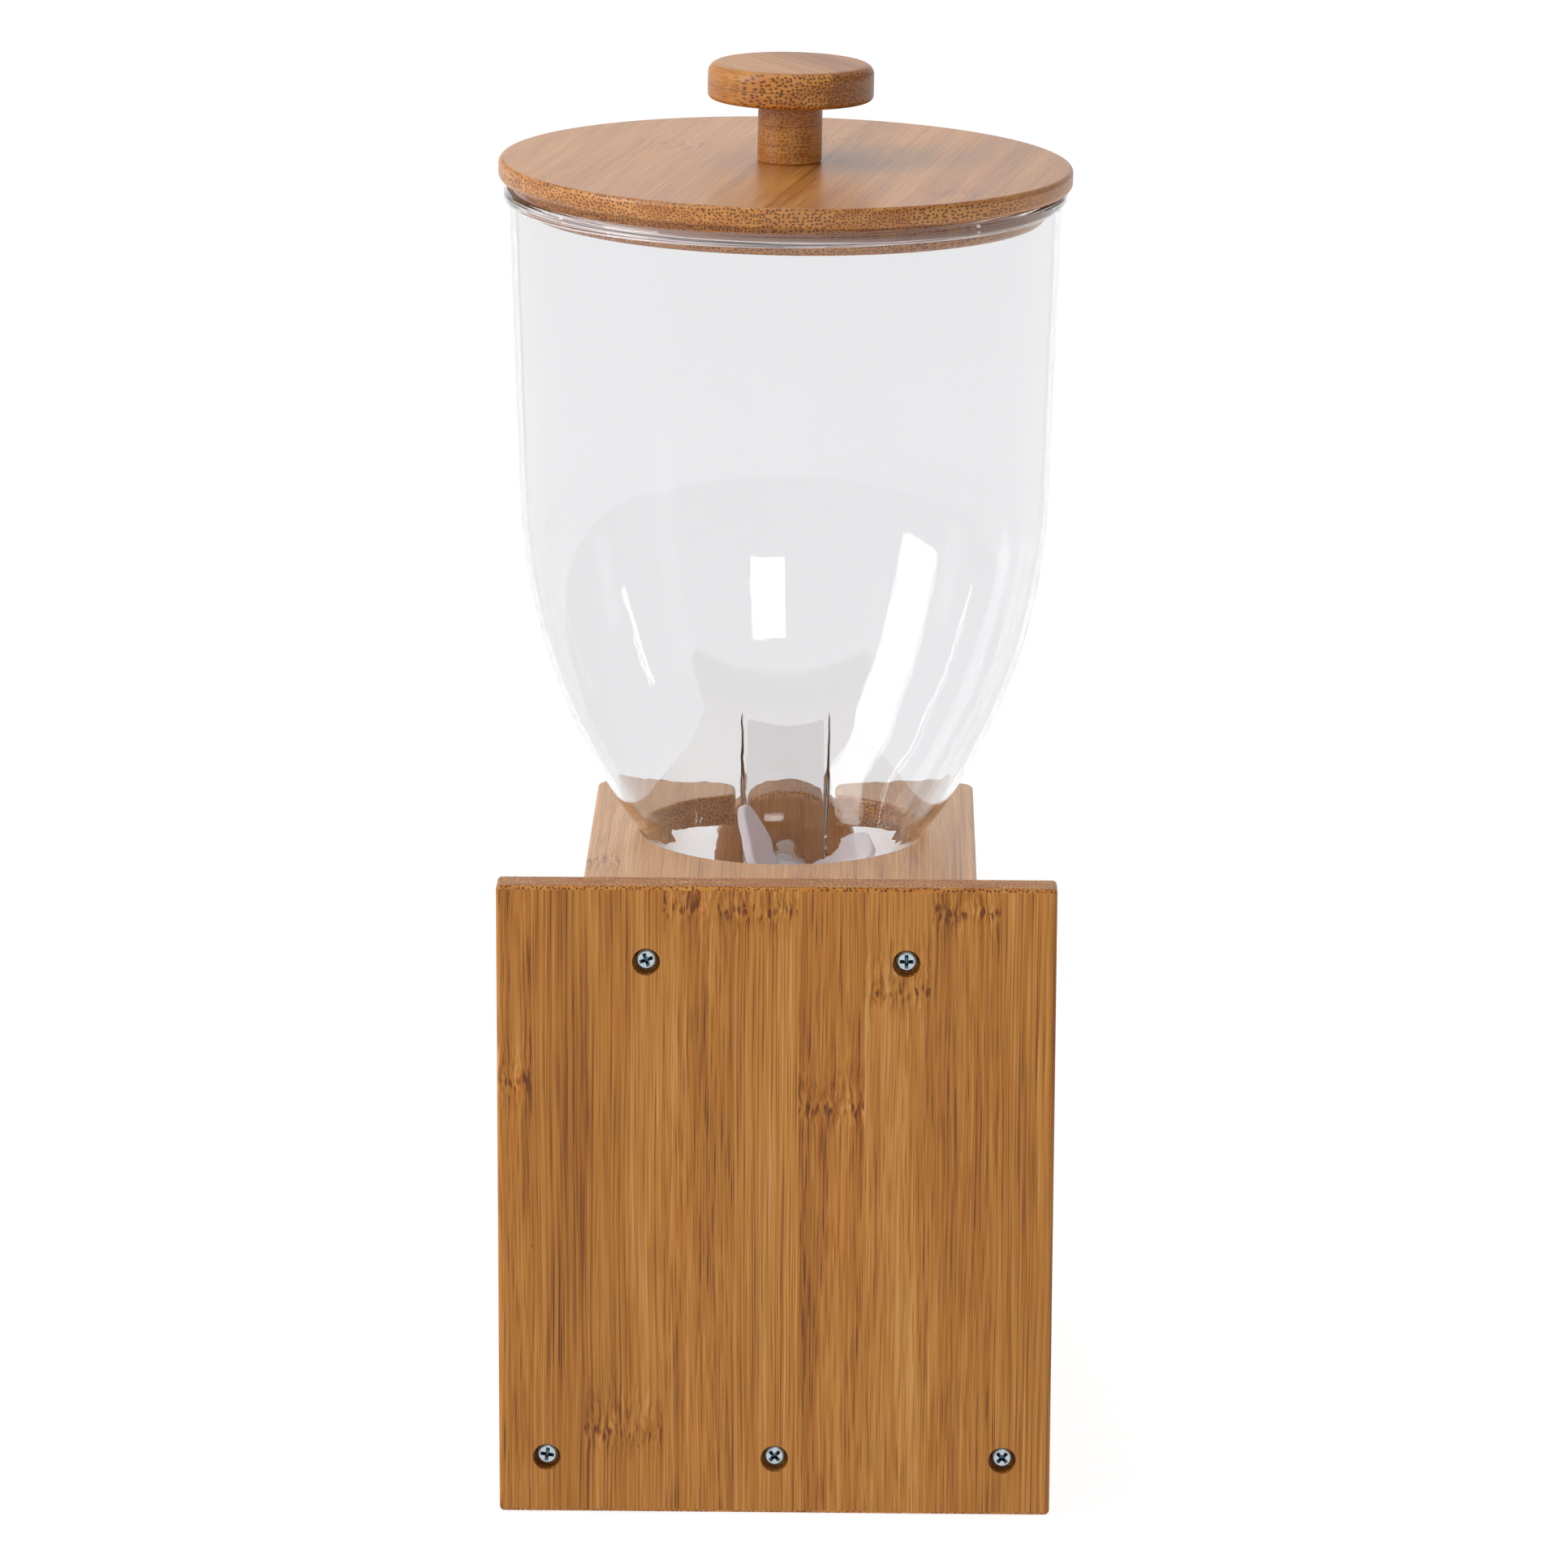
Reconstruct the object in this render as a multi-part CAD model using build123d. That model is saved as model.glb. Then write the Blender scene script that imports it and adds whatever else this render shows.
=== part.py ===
from build123d import *
import math
import os

# Cereal dispenser: bamboo stand, clear lift-out container with a paddle rotor
# in its throat, and a bamboo lid with a silicone gasket.
# Frame: origin at the centre of the footprint on the table, +Z up,
# the dispensing knob faces -Y, the back board stands at +Y.  Millimetres.

# ----------------------------------------------------------------------------
# driving dimensions
# ----------------------------------------------------------------------------
PANEL_W = 170.0            # back board width
PANEL_H = 200.6            # back board height
BOARD_T = 12.0             # thickness of every board
BACK_Y = 114.5             # back face of the back board
FRONT_Y = BACK_Y - BOARD_T  # front face of the back board
EDGE_R = 1.6               # eased edges of the boards

AXIS_Y = -24.25            # vertical axis of container, throat and lid

SHELF_W = 123.3
SHELF_TOP = 183.0
SHELF_END_Y = BACK_Y - 198.0
SHELF_HOLE_R = 45.1
SHELF_RELIEF_R = 50.0
SHELF_RELIEF_T = 5.0
SHELF_SLOT_W = 33.4
SHELF_CORNER_R = 5.0
SLOT_CORNER_R = 6.5

BASE_BOT = 12.0            # underside of the base board, on its feet
BASE_TOP = BASE_BOT + BOARD_T
BASE_END_Y = BACK_Y - 210.0
BASE_CORNER_R = 10.0

SCREW_SINK = 2.6           # head face below the board's back face
SCREW_CB_R = 4.25          # counterbore radius
SCREW_HEAD_R = 3.45
SCREW_HEAD_H = 2.2
SCREW_SHANK_R = 1.9
SCREW_LEN = 38.0
SHELF_SCREW_X = 39.5
BASE_SCREW_X = 70.25

FOOT_R = 10.0
FOOT_X = 61.0
FOOT_Y = (88.0, -80.0)

RIM_TOP = 391.4
RIM_R = 88.7
RIM_H = 4.2
WALL = 2.0
THROAT_R = 40.5            # outer radius of the throat
THROAT_BOT = 112.0

NOSE_HALF = 14.8           # half width of the key below the bowl
NOSE_FRONT_Y = BACK_Y - 198.9
NOSE_BOT = 134.0
NOSE_R = 3.0

ROTOR_Z = 154.0
SHAFT_R = 4.0
RUN_CLEAR = 0.06           # radial running clearance of the shaft in its bushes
BUSH_R = 6.0
CORE_R = 8.0
SLEEVE_R = 9.6
BLADE_R = 37.6
BLADE_T = 3.0
BLADE_COUNT = 5
BLADE_FIRST = 21.0         # rest angle of the first blade from straight up
KNOB_BACK_Y = BACK_Y - 203.6
KNOB_R = 24.6
KNOB_T = 18.0
KNOB_NECK_R = 7.8

LID_R = 90.25
LID_T = 6.5
LID_TILT = 0.9             # the lid sits a little proud on its +X side
LID_PITCH = 0.25           # and a trace on its +Y side
LID_GAP = 0.08             # least gap between the lid and the rim
PLUG_R = 82.1
PLUG_T = 9.3
GASKET_OUT_R = 84.5
GASKET_IN_R = 80.0
GASKET_T = 2.0
STEM_R = 10.1
STEM_H = 19.8
CAP_R = 26.05
CAP_T = 11.2
KNOB_X = -1.05             # the lid's knob is fixed a little off centre

# Outer generatrix of the bowl below its straight draft, (radius, height)
BOWL_TOP = (87.05, RIM_TOP - RIM_H)
BOWL_BREAK = (84.32, 296.0)
BOWL_CURVE = [
    (83.6, 281.5), (82.0, 269.0), (79.6, 256.2), (76.2, 243.3),
    (71.7, 230.3), (66.1, 217.0), (60.5, 206.5), (54.6, 195.8),
    (48.7, 187.3), (44.5, 181.6), (41.9, 176.4),
]
BOWL_END = (THROAT_R, 168.5)

os.makedirs("parts", exist_ok=True)


# ----------------------------------------------------------------------------
# helpers
# ----------------------------------------------------------------------------
def single(shape):
    """The one solid of a boolean result."""
    found = shape.solids()
    if len(found) != 1:
        raise ValueError("expected one solid, found %d" % len(found))
    return found[0]


def write(name, shape):
    export_step(shape, os.path.join("parts", name + ".step"))
    print(name, len(shape.solids()), round(shape.volume, 1))


def block(x0, x1, y0, y1, z0, z1):
    return Pos((x0 + x1) / 2, (y0 + y1) / 2, (z0 + z1) / 2) * Box(x1 - x0, y1 - y0, z1 - z0)


def rod(radius, start, end):
    """Cylinder between two points that share two coordinates."""
    a, b = Vector(*start), Vector(*end)
    d = b - a
    return Plane(origin=a, z_dir=d) * Pos(0, 0, d.length / 2) * Cylinder(radius, d.length)


def turn(points, x=0.0, y=AXIS_Y):
    """Solid of revolution about a vertical axis from (radius, z) corners."""
    wire = Wire.make_polygon([Vector(r, 0, z) for r, z in points], close=True)
    return Pos(x, y, 0) * revolve(make_face(wire), Axis.Z, 360)


def cross_recess(depth, reach, width):
    """Tapered cross recess, cut downwards from z = 0."""
    bars = []
    for a in (0, 90):
        top = Pos(0, 0, 0.01) * Rectangle(reach, width)
        low = Pos(0, 0, -depth) * Rectangle(reach * 0.42, width * 0.45)
        bars.append(Rot(0, 0, a) * loft([top.faces()[0], low.faces()[0]]))
    return bars[0] + bars[1]


def wood_screw(length, head_r, head_h, shank_r, spin):
    """Pan-head wood screw, head face at z = 0, shank pointing down."""
    pts = [
        (0, 0), (head_r - 0.9, 0), (head_r - 0.25, -0.35), (head_r, -1.0),
        (head_r, -head_h), (shank_r, -head_h), (shank_r, -length + 5.0),
        (0.35, -length), (0, -length),
    ]
    body = turn(pts, 0, 0)
    # shallow thread rings on the lower part of the shank
    z = -head_h - 9.0
    while z > -length + 6.0:
        body = body - turn([(shank_r - 0.45, z), (shank_r + 1, z + 0.55), (shank_r + 1, z - 0.55)], 0, 0)
        z -= 2.2
    body = body - Rot(0, 0, spin) * cross_recess(1.7, head_r * 1.25, 1.15)
    return single(body)


# ----------------------------------------------------------------------------
# stand
# ----------------------------------------------------------------------------
SHELF_MID = SHELF_TOP - BOARD_T / 2
BASE_MID = BASE_BOT + BOARD_T / 2
screw_spots = [
    ("shelf", SHELF_SCREW_X, SHELF_MID, 20.0),
    ("shelf", -SHELF_SCREW_X, SHELF_MID, 0.0),
    ("base", BASE_SCREW_X, BASE_MID, -8.0),
    ("base", 0.0, BASE_MID, 45.0),
    ("base", -BASE_SCREW_X, BASE_MID, 45.0),
]
HEAD_FACE_Y = BACK_Y - SCREW_SINK

panel = block(-PANEL_W / 2, PANEL_W / 2, FRONT_Y, BACK_Y, 0, PANEL_H)
panel = fillet(panel.edges().filter_by(Axis.Y), 1.5)
panel = fillet(panel.faces().sort_by(Axis.Y)[-1].edges(), EDGE_R)
panel = fillet(panel.faces().sort_by(Axis.Y)[0].edges(), 1.0)
for _, sx, sz, _ in screw_spots:
    panel = panel - rod(SCREW_CB_R, (sx, HEAD_FACE_Y - SCREW_HEAD_H, sz), (sx, BACK_Y + 1, sz))
    panel = panel - rod(SCREW_SHANK_R + 0.1, (sx, FRONT_Y - 1, sz), (sx, BACK_Y, sz))
back_panel = single(panel)
write("back_panel", back_panel)

# shelf: round hole for the throat, slot to the front for the nose
shelf = block(-SHELF_W / 2, SHELF_W / 2, SHELF_END_Y, FRONT_Y, SHELF_TOP - BOARD_T, SHELF_TOP)
front_corners = shelf.edges().filter_by(Axis.Z).sort_by(Axis.Y)[:2]
shelf = fillet(front_corners, SHELF_CORNER_R)
shelf = shelf - Pos(0, AXIS_Y, SHELF_MID) * Cylinder(SHELF_HOLE_R, BOARD_T + 2)
shelf = shelf - block(-SHELF_SLOT_W / 2, SHELF_SLOT_W / 2, SHELF_END_Y - 5, AXIS_Y, SHELF_TOP - BOARD_T - 1, SHELF_TOP + 1)
slot_edges = [
    e for e in shelf.edges().filter_by(Axis.Z)
    if abs(abs(e.center().X) - SHELF_SLOT_W / 2) < 0.05 and e.center().Y < SHELF_END_Y + 1
]
shelf = fillet(slot_edges, SLOT_CORNER_R)
mouth_edges = [
    e for e in shelf.edges().filter_by(Axis.Z)
    if abs(abs(e.center().X) - SHELF_SLOT_W / 2) < 0.05 and e.center().Y > SHELF_END_Y + 8
]
shelf = fillet(mouth_edges, 3.0)
# eased top edge all round, except where the shelf meets the back board
top_edges = [
    e for e in shelf.faces().sort_by(Axis.Z)[-1].edges()
    if e.center().Y < FRONT_Y - 0.5
]
shelf = fillet(top_edges, 1.3)
bot_edges = [
    e for e in shelf.faces().sort_by(Axis.Z)[0].edges()
    if e.center().Y < FRONT_Y - 0.5
]
shelf = fillet(bot_edges, 1.0)

base = block(-PANEL_W / 2, PANEL_W / 2, BASE_END_Y, FRONT_Y, BASE_BOT, BASE_TOP)
base = fillet(base.edges().filter_by(Axis.Z).sort_by(Axis.Y)[:2], BASE_CORNER_R)
for pick in (-1, 0):
    base = fillet(
        [e for e in base.faces().sort_by(Axis.Z)[pick].edges() if e.center().Y < FRONT_Y - 0.5],
        EDGE_R if pick else 1.0,
    )

screws = {"shelf": [], "base": []}
for kind, sx, sz, spin in screw_spots:
    s = wood_screw(SCREW_LEN, SCREW_HEAD_R, SCREW_HEAD_H, SCREW_SHANK_R, spin)
    s = Pos(sx, HEAD_FACE_Y, sz) * Rot(-90, 0, 0) * s
    screws[kind].append(s)
    hole = rod(SCREW_SHANK_R + 0.03, (sx, HEAD_FACE_Y - SCREW_LEN - 0.6, sz), (sx, FRONT_Y + 1, sz))
    if kind == "shelf":
        shelf = shelf - hole
    else:
        base = base - hole
# relief under the throat hole, so only the upper lip of the board holds the container
shelf = shelf - Pos(0, AXIS_Y, SHELF_TOP - BOARD_T + SHELF_RELIEF_T / 2 - 0.5) * Cylinder(SHELF_RELIEF_R, SHELF_RELIEF_T + 1)
write("shelf", single(shelf))
write("shelf_screws", Compound(children=screws["shelf"]))
write("base_screws", Compound(children=screws["base"]))

# feet under the base board, each with its own screw from below
feet, foot_screws = [], []
for fx in (-FOOT_X, FOOT_X):
    for fy in FOOT_Y:
        foot = turn([
            (0, 0), (FOOT_R - 1.4, 0), (FOOT_R - 0.5, 0.5), (FOOT_R, 1.6),
            (FOOT_R - 0.8, BASE_BOT - 0.6), (FOOT_R - 1.4, BASE_BOT), (0, BASE_BOT),
        ], fx, fy)
        foot = foot - Pos(fx, fy, 2.5) * Cylinder(4.3, 5.0)
        foot = foot - Pos(fx, fy, 6) * Cylinder(2.0, 14)
        feet.append(single(foot))
        s = wood_screw(15.0, 3.4, 2.0, 1.7, 30.0)
        foot_screws.append(Pos(fx, fy, 3.0) * Rot(180, 0, 0) * s)
        base = base - Pos(fx, fy, BASE_BOT + 3.2) * Cylinder(1.75, 7.0)
write("base_board", single(base))
write("rubber_feet", Compound(children=feet))
write("foot_screws", Compound(children=foot_screws))

# ----------------------------------------------------------------------------
# container
# ----------------------------------------------------------------------------
draft = math.atan2(BOWL_TOP[0] - BOWL_BREAK[0], BOWL_TOP[1] - BOWL_BREAK[1])
down = Vector(-math.sin(draft), 0, -math.cos(draft))
outer_curve = Spline(
    [Vector(r, 0, z) for r, z in [BOWL_BREAK] + BOWL_CURVE + [BOWL_END]],
    tangents=[down, Vector(0, 0, -1)],
)


def inward(t):
    """Point of the curve moved one wall thickness towards the inside."""
    p, d = outer_curve @ t, outer_curve % t
    n = Vector(d.Z, 0, -d.X)
    if n.X > 0:
        n = n * -1
    return p + n.normalized() * WALL


inner_pts = [inward(i / 14) for i in range(15)]
inner_curve = Spline(inner_pts, tangents=[down, Vector(0, 0, -1)])
shift = WALL / math.cos(draft)
z_rim = RIM_TOP - RIM_H
r_in_top = inner_pts[0].X + (RIM_TOP - inner_pts[0].Z) * math.tan(draft)

p_rim_out_low = Vector(BOWL_TOP[0], 0, z_rim)
bead = [
    p_rim_out_low, Vector(RIM_R - 0.9, 0, z_rim + 0.35), Vector(RIM_R - 0.25, 0, z_rim + 0.9),
    Vector(RIM_R, 0, z_rim + 1.7), Vector(RIM_R, 0, RIM_TOP - 1.3),
    Vector(RIM_R - 0.35, 0, RIM_TOP - 0.45), Vector(RIM_R - 1.1, 0, RIM_TOP),
    Vector(r_in_top + 0.6, 0, RIM_TOP), Vector(r_in_top, 0, RIM_TOP - 0.6),
]
edges = [Line(bead[i], bead[i + 1]) for i in range(len(bead) - 1)]
edges.append(Line(Vector(r_in_top, 0, RIM_TOP - 0.6), inner_pts[0]))
edges.append(inner_curve)
r_in_throat = inner_pts[-1].X
edges.append(Line(inner_pts[-1], Vector(r_in_throat, 0, THROAT_BOT)))
edges.append(Line(Vector(r_in_throat, 0, THROAT_BOT), Vector(THROAT_R, 0, THROAT_BOT)))
edges.append(Line(Vector(THROAT_R, 0, THROAT_BOT), Vector(*[THROAT_R, 0, BOWL_END[1]])))
edges.append(outer_curve)
edges.append(Line(Vector(BOWL_BREAK[0], 0, BOWL_BREAK[1]), p_rim_out_low))
shell = Pos(0, AXIS_Y, 0) * revolve(make_face(Wire(edges)), Axis.Z, 360)

# filled outer form of the lower bowl, used to trim the nose
full_edges = [
    Line(Vector(0, 0, BOWL_BREAK[1]), Vector(BOWL_BREAK[0], 0, BOWL_BREAK[1])),
    outer_curve,
    Line(Vector(THROAT_R, 0, BOWL_END[1]), Vector(THROAT_R, 0, 100)),
    Line(Vector(THROAT_R, 0, 100), Vector(0, 0, 100)),
    Line(Vector(0, 0, 100), Vector(0, 0, BOWL_BREAK[1])),
]
filled = Pos(0, AXIS_Y, 0) * revolve(make_face(Wire(full_edges)), Axis.Z, 360)

# nose: a key with a flat front, closed by the bowl above and open below
nose = block(-NOSE_HALF, NOSE_HALF, NOSE_FRONT_Y, AXIS_Y, NOSE_BOT, 216)
nose = fillet(nose.edges().filter_by(Axis.Z).sort_by(Axis.Y)[:2], NOSE_R)
pocket = block(-NOSE_HALF + WALL, NOSE_HALF - WALL, NOSE_FRONT_Y + WALL, AXIS_Y, NOSE_BOT - 1, 216)
pocket = fillet(pocket.edges().filter_by(Axis.Z).sort_by(Axis.Y)[:2], NOSE_R - WALL + 0.2)
nose_shell = (nose - pocket) - filled
# bearing boss on the inside of the nose's front wall
boss = rod(BUSH_R + 2.2, (0, NOSE_FRONT_Y + 0.5, ROTOR_Z), (0, NOSE_FRONT_Y + 7.0, ROTOR_Z))
hopper = shell + nose_shell + boss
# rear bearing boss on the throat
REAR_OUT_Y = AXIS_Y + THROAT_R
REAR_BOSS_H = 0.9
rear_boss = rod(BUSH_R + 2.4, (0, REAR_OUT_Y - 3.5, ROTOR_Z), (0, REAR_OUT_Y + REAR_BOSS_H, ROTOR_Z))
throat_void = Pos(0, AXIS_Y, 140) * Cylinder(r_in_throat, 60)
hopper = hopper + (rear_boss - throat_void)
# bearing holes and the shaft's way through the front of the throat
hopper = hopper - rod(BUSH_R, (0, NOSE_FRONT_Y - 1, ROTOR_Z), (0, NOSE_FRONT_Y + 8, ROTOR_Z))
hopper = hopper - rod(SHAFT_R + 0.9, (0, NOSE_FRONT_Y + 6, ROTOR_Z), (0, AXIS_Y - 30, ROTOR_Z))
hopper = hopper - rod(BUSH_R, (0, AXIS_Y + 30, ROTOR_Z), (0, REAR_OUT_Y + 3, ROTOR_Z))
hopper = single(hopper)
write("hopper", hopper)

# outlet ring clipped over the throat, with a tapered chute
SPOUT_IN = THROAT_R + 0.02
outlet = turn([
    (SPOUT_IN, 122.0), (SPOUT_IN, THROAT_BOT - 0.02), (r_in_throat, THROAT_BOT - 0.02),
    (r_in_throat, THROAT_BOT - 3.0), (27.0, 92.0), (27.0, 84.0),
    (29.0, 84.0), (29.0, 91.4), (THROAT_R + 0.3, THROAT_BOT - 3.6),
    (THROAT_R + 1.7, THROAT_BOT - 2.6), (THROAT_R + 1.7, 121.2), (THROAT_R + 1.0, 122.0),
])
outlet = single(outlet)
write("outlet_spout", outlet)

# bushes: a flanged sleeve in each bearing hole
FLANGE_T = 1.0
REAR_FLANGE_T = 0.8
front_bush = rod(BUSH_R - 0.04, (0, NOSE_FRONT_Y, ROTOR_Z), (0, NOSE_FRONT_Y + 7.0, ROTOR_Z)) \
    + rod(BUSH_R + 1.4, (0, NOSE_FRONT_Y - FLANGE_T, ROTOR_Z), (0, NOSE_FRONT_Y, ROTOR_Z))
front_bush = front_bush - rod(SHAFT_R + RUN_CLEAR, (0, NOSE_FRONT_Y - 3, ROTOR_Z), (0, NOSE_FRONT_Y + 9, ROTOR_Z))
write("front_bush", single(front_bush))
REAR_FACE_Y = REAR_OUT_Y + REAR_BOSS_H
rear_bush = rod(BUSH_R - 0.04, (0, REAR_OUT_Y - 3.2, ROTOR_Z), (0, REAR_FACE_Y, ROTOR_Z)) \
    + rod(BUSH_R + 1.4, (0, REAR_FACE_Y, ROTOR_Z), (0, REAR_FACE_Y + REAR_FLANGE_T, ROTOR_Z))
rear_bush = rear_bush - rod(SHAFT_R + RUN_CLEAR, (0, REAR_OUT_Y - 6, ROTOR_Z), (0, REAR_FACE_Y + 3, ROTOR_Z))
write("rear_bush", single(rear_bush))

# ----------------------------------------------------------------------------
# rotor: turns about the line x = 0, z = ROTOR_Z, parallel to Y
# ----------------------------------------------------------------------------
CLIP_Y = REAR_FACE_Y + REAR_FLANGE_T + 0.2
SHAFT_REAR_Y = CLIP_Y + 1.0 + 0.6
SHAFT_FRONT_Y = KNOB_BACK_Y - 9.0
shaft = rod(SHAFT_R, (0, SHAFT_FRONT_Y, ROTOR_Z), (0, SHAFT_REAR_Y, ROTOR_Z))
shaft = chamfer(shaft.edges().filter_by(GeomType.CIRCLE), 0.4)
groove = rod(SHAFT_R + 1, (0, CLIP_Y, ROTOR_Z), (0, CLIP_Y + 1.0, ROTOR_Z)) \
    - rod(SHAFT_R - 0.8, (0, CLIP_Y - 1, ROTOR_Z), (0, CLIP_Y + 2, ROTOR_Z))
shaft = shaft - groove
shaft = shaft - rod(1.4, (0, SHAFT_FRONT_Y - 1, ROTOR_Z), (0, SHAFT_FRONT_Y + 10, ROTOR_Z))
write("drive_shaft", single(shaft))

# retaining clip: open ring in the shaft's groove
clip = rod(SHAFT_R + 1.7, (0, CLIP_Y + 0.05, ROTOR_Z), (0, CLIP_Y + 0.95, ROTOR_Z)) \
    - rod(SHAFT_R - 0.78, (0, CLIP_Y - 1, ROTOR_Z), (0, CLIP_Y + 2, ROTOR_Z))
clip = clip - block(-1.6, 1.6, CLIP_Y - 1, CLIP_Y + 2, ROTOR_Z - 8, ROTOR_Z)
write("retaining_clip", single(clip))

CORE_HALF = 34.5
core = rod(CORE_R, (0, AXIS_Y - CORE_HALF, ROTOR_Z), (0, AXIS_Y + CORE_HALF, ROTOR_Z))
core = core - rod(SHAFT_R + 0.03, (0, AXIS_Y - 40, ROTOR_Z), (0, AXIS_Y + 40, ROTOR_Z))
write("wheel_core", single(core))

# paddle wheel: sleeve with five blades whose outline is a half disc
wheel = single(rod(SLEEVE_R, (0, AXIS_Y - CORE_HALF, ROTOR_Z), (0, AXIS_Y + CORE_HALF, ROTOR_Z)))
for i in range(BLADE_COUNT):
    angle = BLADE_FIRST + i * 360.0 / BLADE_COUNT
    # half disc standing up from the axis, thin along X
    disc = rod(BLADE_R, (-BLADE_T / 2, 0, 0), (BLADE_T / 2, 0, 0))
    disc = fillet(disc.edges().filter_by(GeomType.CIRCLE), 0.9)
    half = single(disc - block(-5, 5, -50, 50, -50, CORE_R * 0.6))
    wheel = single(wheel + Pos(0, AXIS_Y, ROTOR_Z) * Rot(0, angle, 0) * half)
wheel = single(wheel - rod(CORE_R + 0.05, (0, AXIS_Y - 50, ROTOR_Z), (0, AXIS_Y + 50, ROTOR_Z)))
write("paddle_wheel", wheel)

NECK_START_Y = NOSE_FRONT_Y - FLANGE_T - 0.4
neck = rod(KNOB_NECK_R, (0, KNOB_BACK_Y, ROTOR_Z), (0, NECK_START_Y, ROTOR_Z))
neck = fillet(neck.edges().filter_by(GeomType.CIRCLE).sort_by(Axis.Y)[-1], 0.8)
neck = neck - rod(SHAFT_R + 0.01, (0, KNOB_BACK_Y - 1, ROTOR_Z), (0, NECK_START_Y + 1, ROTOR_Z))
write("knob_neck", single(neck))

KNOB_FRONT_Y = KNOB_BACK_Y - KNOB_T
knob = rod(KNOB_R, (0, KNOB_FRONT_Y, ROTOR_Z), (0, KNOB_BACK_Y, ROTOR_Z))
knob = fillet(knob.edges().filter_by(GeomType.CIRCLE).sort_by(Axis.Y)[0], 3.5)
knob = fillet(knob.edges().filter_by(GeomType.CIRCLE).sort_by(Axis.Y)[-1], 2.5)
knob = knob - rod(SHAFT_R + 0.01, (0, SHAFT_FRONT_Y - 0.1, ROTOR_Z), (0, KNOB_BACK_Y + 1, ROTOR_Z))
# screw hole with a sunk seat in the middle of the front face
SEAT_Y = KNOB_FRONT_Y + 3.0
knob = knob - rod(3.8, (0, KNOB_FRONT_Y - 1, ROTOR_Z), (0, SEAT_Y, ROTOR_Z))
knob = knob - rod(1.6, (0, KNOB_FRONT_Y, ROTOR_Z), (0, SHAFT_FRONT_Y + 1, ROTOR_Z))
write("dispensing_knob", single(knob))

kscrew = turn([
    (0, 0), (2.2, 0), (3.0, -0.4), (3.3, -1.0), (3.3, -2.0), (1.38, -2.0),
    (1.38, -13.0), (1.0, -14.0), (0, -14.0),
], 0, 0)
kscrew = kscrew - cross_recess(1.3, 3.9, 1.0)
kscrew = Pos(0, SEAT_Y - 2.02, ROTOR_Z) * Rot(90, 0, 0) * kscrew
write("knob_screw", single(kscrew))

# ----------------------------------------------------------------------------
# lid, resting on the rim at its -X side
# ----------------------------------------------------------------------------
LID_BOT = RIM_TOP
lean = math.hypot(math.radians(LID_TILT), math.radians(LID_PITCH))
rise = RIM_R * math.sin(lean) + LID_GAP
centre = Pos(0, AXIS_Y, LID_BOT)
tilt = Pos(0, 0, rise) * centre * Rot(LID_PITCH, -LID_TILT, 0) * centre.inverse()


def lid_turn(points):
    return turn(points)


disc = Pos(0, AXIS_Y, LID_BOT + LID_T / 2) * Cylinder(LID_R, LID_T)
disc = fillet(disc.edges().filter_by(GeomType.CIRCLE).sort_by(Axis.Z)[-1], 1.5)
disc = fillet(disc.edges().filter_by(GeomType.CIRCLE).sort_by(Axis.Z)[0], 2.0)
disc = disc - Pos(KNOB_X, AXIS_Y, LID_BOT + LID_T / 2) * Cylinder(2.1, LID_T + 2)
write("lid_disc", tilt * single(disc))

G_TOP = LID_BOT - 4.25
plug = lid_turn([
    (0, LID_BOT), (PLUG_R, LID_BOT), (PLUG_R, G_TOP + 0.05), (GASKET_IN_R, G_TOP + 0.05),
    (GASKET_IN_R, G_TOP - GASKET_T - 0.05), (PLUG_R, G_TOP - GASKET_T - 0.05),
    (PLUG_R, LID_BOT - PLUG_T + 1.0), (PLUG_R - 1.0, LID_BOT - PLUG_T), (0, LID_BOT - PLUG_T),
])
plug = plug - Pos(KNOB_X, AXIS_Y, LID_BOT - PLUG_T / 2) * Cylinder(2.1, PLUG_T + 2)
plug = plug - Pos(KNOB_X, AXIS_Y, LID_BOT - PLUG_T + 1.3) * Cylinder(4.2, 2.6)
write("lid_plug", tilt * single(plug))

gasket = lid_turn([
    (GASKET_IN_R + 0.06, G_TOP), (PLUG_R + 0.3, G_TOP), (GASKET_OUT_R, G_TOP - 0.35),
    (GASKET_OUT_R, G_TOP - 0.7), (PLUG_R + 0.6, G_TOP - 0.95), (PLUG_R + 0.6, G_TOP - 1.1),
    (GASKET_OUT_R, G_TOP - 1.3), (GASKET_OUT_R, G_TOP - 1.65), (PLUG_R + 0.3, G_TOP - GASKET_T),
    (GASKET_IN_R + 0.06, G_TOP - GASKET_T),
])
write("lid_gasket", tilt * single(gasket))

STEM_BOT = LID_BOT + LID_T
stem = Pos(KNOB_X, AXIS_Y, STEM_BOT + STEM_H / 2) * Cylinder(STEM_R, STEM_H)
stem = chamfer(stem.edges().filter_by(GeomType.CIRCLE).sort_by(Axis.Z)[0], 0.5)
stem = stem - Pos(KNOB_X, AXIS_Y, STEM_BOT + STEM_H / 2) * Cylinder(2.1, STEM_H + 2)
write("lid_knob_stem", tilt * single(stem))

CAP_BOT = STEM_BOT + STEM_H
cap = Pos(KNOB_X, AXIS_Y, CAP_BOT + CAP_T / 2) * Cylinder(CAP_R, CAP_T)
cap = fillet(cap.edges().filter_by(GeomType.CIRCLE).sort_by(Axis.Z)[-1], 3.2)
cap = fillet(cap.edges().filter_by(GeomType.CIRCLE).sort_by(Axis.Z)[0], 1.6)
cap = cap - Pos(KNOB_X, AXIS_Y, CAP_BOT + 3.5) * Cylinder(2.0, 9.0)
write("lid_knob_cap", tilt * single(cap))

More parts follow.
